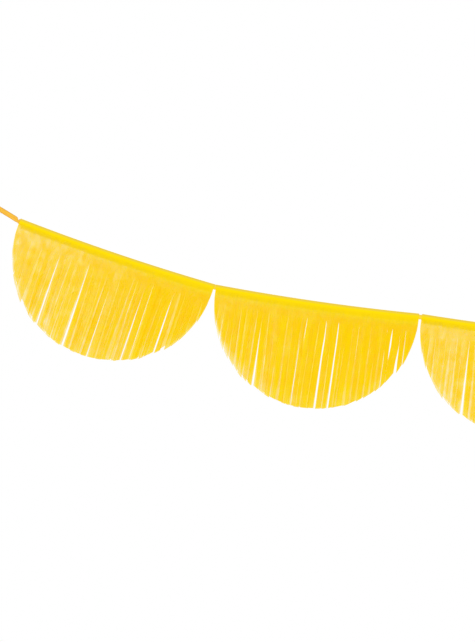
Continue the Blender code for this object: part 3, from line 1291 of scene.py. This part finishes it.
    def loop_outline(self) -> list[tuple[float, float]]:
        """The loop's middle line, from its neck in the knot and round.

        Returns:
            Each point's distance from the hook towards the knot, and its height.
        """
        wide = self.loop_radius + self.band_offset
        neck = self.neck_radius + self.band_offset
        neck_centre = self.loop_length + self.tucked - neck
        lean = math.acos((wide - neck) / (neck_centre - self.loop_radius))
        arcs = (
            (neck_centre, neck, 0.0, lean, 6),
            (self.loop_radius, wide, lean, 2 * math.pi - lean, 40),
            (neck_centre, neck, 2 * math.pi - lean, 2 * math.pi, 6),
        )
        points = []
        for centre, radius, first, last, steps in arcs:
            for step in range(steps + 1):
                angle = first + (last - first) * step / steps
                points.append((centre + radius * math.cos(angle), radius * math.sin(angle)))
        return points

    def build_loop(self) -> bpy.types.Object:
        """Builds the hanging loop, whose width lies along the hook.

        Returns:
            The loop object.
        """
        bearing = self.knot_middle() + self.outward * (self.knot_length / 2 + self.loop_length)
        run = RibbonRun(f"{self.side.value}_loop_band", self.finish)
        outline = self.loop_outline()
        for first, last in zip(outline, outline[1:]):
            steps = max(1, round(math.dist(first, last) / self.loop_step))
            for step in range(steps):
                share = step / steps
                inward = first[0] + (last[0] - first[0]) * share
                rise = first[1] + (last[1] - first[1]) * share
                narrow = self.neck_depth * max(0.0, (inward - self.neck_from) / self.neck_from)
                centre = bearing - self.outward * inward + self.up * rise
                run.station(centre, BACKWARD, self.half_width - narrow)
        run.station(run.centres[0], run.sides[0], run.halves[0])
        return run.build()


@dataclass(frozen=True)
class Studio:
    """A plain white room: level light, a lamp, a pale floor and the photograph's camera."""

    light_level: float = 0.94
    # The lamp: its strength, its size, and its turn off the plumb line and off the front
    sun_strength: float = 0.48
    sun_spread: float = 25.0
    sun_tilt: float = 48.0
    sun_turn: float = -22.0
    # The camera
    lens_mm: float = 85.0
    sensor_mm: float = 36.0
    roll_degrees: float = -0.42
    # The floor, how pale it is, and how much of it the camera sees as white
    floor_drop: float = 1.25
    floor_size: float = 5.0
    floor_x: float = 0.8
    floor_white: float = 0.9
    floor_glow: float = 0.9

    def build(self, first: FoldLine, fold_top: float) -> None:
        """Builds the floor, the light and the camera.

        Args:
            first: The leftmost fold.
            fold_top: How far its ridge stands over its line.
        """
        self.build_world()
        self.build_floor()
        self.build_sun()
        self.build_camera(first, fold_top)
        bpy.context.scene.view_settings.view_transform = "Standard"

    def build_world(self) -> None:
        """A white background for what looks at it, and level light for the rest."""
        world = bpy.data.worlds.new("white_room")
        bpy.context.scene.world = world
        bench = NodeBench(world)
        rays = bench.add("LightPath")
        seen = rays.outputs["Is Camera Ray"]
        for name in ("Is Glossy Ray", "Is Transmission Ray"):
            seen = bench.math("MAXIMUM", seen, rays.outputs[name])
        light, white = (
            bench.add("Background", {"Color": (1.0, 1.0, 1.0), "Strength": strength}).outputs[0]
            for strength in (self.light_level, 1.0)
        )
        bench.finish(bench.mix_shaders(seen, light, white), "OutputWorld")

    def build_floor(self) -> None:
        """A pale floor under the garland, white to the camera but for its shadow."""
        bpy.ops.object.select_all(action="DESELECT")
        place = (self.floor_x, 0.0, -self.floor_drop)
        bpy.ops.mesh.primitive_plane_add(size=self.floor_size, location=place)
        floor = bpy.context.object
        floor.name = "floor"
        bench = NodeBench(bpy.data.materials.new("floor_white"))
        matt = bench.add("BsdfDiffuse", {"Color": (self.floor_white,) * 3}).outputs[0]
        bright = bench.add("Emission", {"Color": (1.0, 1.0, 1.0)}).outputs[0]
        seen = bench.product(bench.add("LightPath").outputs["Is Camera Ray"], self.floor_glow)
        floor.data.materials.append(bench.finish(bench.mix_shaders(seen, matt, bright)))

    def build_sun(self) -> None:
        """A soft lamp from the front, above and a little to the left."""
        bpy.ops.object.light_add(type="SUN", location=(0.0, -1.0, 1.0))
        sun = bpy.context.object
        sun.data.energy = self.sun_strength
        sun.data.angle = math.radians(self.sun_spread)
        sun.rotation_euler = (math.radians(self.sun_tilt), 0.0, math.radians(self.sun_turn))

    def build_camera(self, first: FoldLine, fold_top: float) -> None:
        """Puts the camera where the photograph's was.

        Args:
            first: The leftmost fold.
            fold_top: How far its ridge stands over its line.
        """
        corner = first.end(Side.LEFT) + first.up * fold_top
        x = corner.x + (PHOTO_WIDTH_PX / 2 - CORNER_X_PX) * METRES_PER_PX
        z = corner.z - (PHOTO_HEIGHT_PX / 2 - CORNER_Y_PX) * METRES_PER_PX
        distance = self.lens_mm / self.sensor_mm * PHOTO_HEIGHT_PX * METRES_PER_PX
        bpy.ops.object.camera_add(location=(x, -distance, z))
        camera = bpy.context.object
        camera.rotation_euler = (math.radians(90), math.radians(self.roll_degrees), 0.0)
        camera.data.lens = self.lens_mm
        camera.data.sensor_width = self.sensor_mm
        bpy.context.scene.camera = camera


@dataclass
class Garland:
    """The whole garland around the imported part.

    Attributes:
        frame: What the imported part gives.
        fold_length: The length of each fold.
        fold_top: How far the ridge of a fold stands over its line.
        gap_pinch: How far the ribbon's edges draw in at a gap.
    """

    frame: dict
    fold_length: float = 0.200
    fold_top: float = 0.0033
    gap_pinch: float = 0.0003

    # Three tissues: name, clearness at the left and right ends, what the strips keep of it,
    # streaks, washed tips, and the dye's colour where it isn't the common one
    tissues = (
        ("tissue_pale", (0.33, 0.11), 0.78, 0.32, 0.10),
        ("tissue_deep", (0.165, 0.085), 0.76, 0.75, 0.42, (0.985, 0.778, 0.001)),
        ("tissue_soft", (0.27, 0.23), 0.80, 0.40, 0.12),
    )

    # The looseness of each tissue's strips, at the left and right ends
    looseness = ((0.4, 1.5), (1.9, 1.8), (1.0, 1.0))

    # How far the folds on both sides of a gap reach into it, by the gap's number
    snug = {1: 0.0006, 3: 0.0002, 4: 0.0003, 6: 0.0004}

    # The open slits that the photograph shows, with their widths in metres
    first_openings = (
        Opening(0.145, 0.0018, 0.02, 1.0, Reach.FRONT, 0.6),
        Opening(0.240, 0.0029, 0.05, bloom=0.8),
        Opening(0.391, 0.0024, 0.00, bloom=0.90),
        Opening(0.492, 0.0016, 0.00, 1.0, Reach.FRONT, 0.7),
        Opening(0.521, 0.0015, 0.15),
        Opening(0.556, 0.0012, 0.00, 1.0, Reach.BACK, 0.7),
        Opening(0.620, 0.0011, 0.30),
        Opening(0.684, 0.0016, 0.15),
        Opening(0.755, 0.0014, 0.10, 1.0, Reach.BACK),
        Opening(0.830, 0.0020, 0.00, bloom=0.6),
        Opening(0.855, 0.0036, 0.00, 1.0, Reach.BACK, 0.25),
        Opening(0.884, 0.0018, 0.00, 1.0, Reach.FRONT, 0.5),
    )
    second_openings = (
        Opening(0.083, 0.0010, 0.30),
        Opening(0.110, 0.0018, 0.20, 1.0, Reach.FRONT),
        Opening(0.193, 0.0014, 0.20, 1.0, Reach.FRONT),
        Opening(0.243, 0.0026, 0.10),
        Opening(0.370, 0.0014, 0.00, 1.0, Reach.FRONT, 0.5),
        Opening(0.396, 0.0016, 0.20, 1.0, Reach.BACK),
        Opening(0.463, 0.0009, 0.00, 0.38),
        Opening(0.492, 0.0016, 0.10, 1.0, Reach.FRONT, 0.6),
        Opening(0.526, 0.0012, 0.00, 0.40, Reach.FRONT),
        Opening(0.557, 0.0023, 0.00, bloom=0.50),
        Opening(0.617, 0.0017, 0.00, bloom=0.40),
        Opening(0.658, 0.0016, 0.10, 1.0, Reach.FRONT),
        Opening(0.690, 0.0014, 0.20, 1.0, Reach.BACK),
        Opening(0.748, 0.0005, 0.30),
        Opening(0.811, 0.0010, 0.45),
        Opening(0.882, 0.0012, 0.02, 0.60),
        Opening(0.922, 0.0020, 0.40),
    )
    third_openings = (
        Opening(0.080, 0.0012, 0.30, 1.0, Reach.BACK),
        Opening(0.157, 0.0016, 0.20, 1.0, Reach.FRONT),
        Opening(0.246, 0.0024, 0.10),
        Opening(0.335, 0.0014, 0.10, 1.0, Reach.FRONT),
        Opening(0.420, 0.0020, 0.10),
        Opening(0.505, 0.0014, 0.20, 1.0, Reach.BACK),
        Opening(0.590, 0.0024, 0.05, bloom=0.6),
        Opening(0.655, 0.0012, 0.10, 1.0, Reach.FRONT),
        Opening(0.710, 0.0018, 0.15),
        Opening(0.800, 0.0016, 0.10),
        Opening(0.890, 0.0014, 0.20, 1.0, Reach.BACK),
    )

    def folds(self) -> list[FoldLine]:
        """The fold lines, read from the swing joints.

        Returns:
            The lines from left to right.
        """
        joints = {joint["name"]: joint for joint in self.frame["joints"]}
        swings = sorted(name for name in joints if name.startswith("swing_"))
        return [FoldLine.from_joint(joints[name], self.fold_length) for name in swings]

    def build(self) -> None:
        """Builds every piece and the studio."""
        folds = self.folds()
        satin = SatinFinish("yellow_satin").material()
        # Painted light: the bare ribbon between the folds gets a lighter, yellower copy of the satin, to lift
        # the shading that it renders with
        lit_link_colours = ((0.99, 0.70, 0.045), (0.97, 0.65, 0.030), (0.90, 0.60, 0.03))
        link_satin = SatinFinish("link_satin", *lit_link_colours).material()
        tissues = [TissueFinish(*row).material() for row in self.tissues]
        openings = (self.first_openings, self.second_openings, self.third_openings)
        for number, line in enumerate(folds, 1):
            row = (number - 1) % len(openings)
            overhang = (self.snug.get(number - 1, 0.0), self.snug.get(number, 0.0))
            TissueScallop(number, line, openings[row], tissues[row], self.looseness[row], overhang).build()
        for number, (left, right) in enumerate(zip(folds, folds[1:]), 1):
            close = self.snug.get(number, 0.0)
            GapRibbon(number, left, right, link_satin, close, max(0.0, self.gap_pinch - close)).build()
        for side, line in ((Side.LEFT, folds[0]), (Side.RIGHT, folds[-1])):
            RibbonEnd(side, line, satin).build()
        self.dress_cores(len(folds))
        Studio().build(folds[0], self.fold_top)

    def dress_cores(self, count: int) -> None:
        """Gives the ribbon and the glue inside each fold their finishes.

        Args:
            count: How many scallops there are.
        """
        weave, lumps = (400.0, 3000.0, 3000.0), (300.0, 900.0, 900.0)
        ribbon = CoreFinish("covered_ribbon", (0.95, 0.52, 0.04), (0.86, 0.42, 0.02), 0.45, weave)
        glue = CoreFinish("dried_glue", (1.0, 0.84, 0.40), (0.97, 0.76, 0.30), 0.5, lumps)
        for node, finish, slot in (("ribbon", ribbon, "yellow_satin"), ("glue_strip", glue, "dried_glue")):
            material = finish.material()
            for number in range(1, count + 1):
                piece = self.frame["nodes"][f"scallop_{number}_{node}"]
                piece.data.materials.clear()
                piece.data.materials.append(material)


def wave_at(wave: tuple[float, float], place: float, phase: float) -> float:
    """The height of a wave at a place along the leaf."""
    return wave[0] * math.sin(place * wave[1] + phase)


def grid_faces(rows: int, columns: int, turned: bool = False) -> list[tuple[int, ...]]:
    """The faces of a grid whose points are numbered row by row.

    Args:
        rows: Rows of faces.
        columns: Faces in a row.
        turned: Whether they face the other way.

    Returns:
        The point numbers of each face.
    """
    faces = []
    width = columns + 1
    for row in range(rows):
        for column in range(columns):
            first = row * width + column
            around = (first + 1, first + width + 1, first + width)
            faces.append((first, *(around[::-1] if turned else around)))
    return faces


def make_sheet(
    name: str,
    points: list | np.ndarray,
    faces: list,
    places: list | np.ndarray,
    uv_map: str,
    finish: bpy.types.Material,
) -> bpy.types.Object:
    """Makes an object of points and faces with a UV map and a finish.

    Args:
        name: The object's name.
        points: Its points.
        faces: The point numbers of each face.
        places: Each point's place on the UV map.
        uv_map: The UV map's name.
        finish: The material.

    Returns:
        The object, linked to the scene.
    """
    mesh = bpy.data.meshes.new(name)
    mesh.from_pydata([tuple(point) for point in points], [], faces)
    mesh.update()
    used = np.zeros(len(mesh.loops), np.int32)
    mesh.loops.foreach_get("vertex_index", used)
    layer = mesh.uv_layers.new(name=uv_map)
    layer.data.foreach_set("uv", np.array(places)[used].astype(np.float32).ravel())
    mesh.materials.append(finish)
    sheet = bpy.data.objects.new(name, mesh)
    bpy.context.scene.collection.objects.link(sheet)
    return sheet


def thicken(ribbon: bpy.types.Object) -> None:
    """Gives a sheet the ribbon's thickness, half on each side, and smooth faces between its edges.

    Args:
        ribbon: The sheet.
    """
    solidify = ribbon.modifiers.new("thickness", "SOLIDIFY")
    solidify.thickness = SATIN_THICKNESS
    solidify.offset = 0.0
    select_only(ribbon)
    bpy.ops.object.modifier_apply(modifier=solidify.name)
    ribbon.data.shade_smooth()
    ribbon.data.set_sharp_from_angle(angle=math.radians(SHARP_EDGE_DEGREES))


def select_only(thing: bpy.types.Object) -> None:
    """Selects one object and makes it the active one.

    Args:
        thing: The object.
    """
    bpy.ops.object.select_all(action="DESELECT")
    thing.select_set(True)
    bpy.context.view_layer.objects.active = thing


def main() -> None:
    """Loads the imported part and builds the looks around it."""
    logging.basicConfig(level=logging.INFO, format="%(name)s: %(message)s")
    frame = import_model()
    bpy.ops.object.select_all(action="DESELECT")
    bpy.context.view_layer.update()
    Garland(frame).build()


if __name__ == "__main__":
    main()
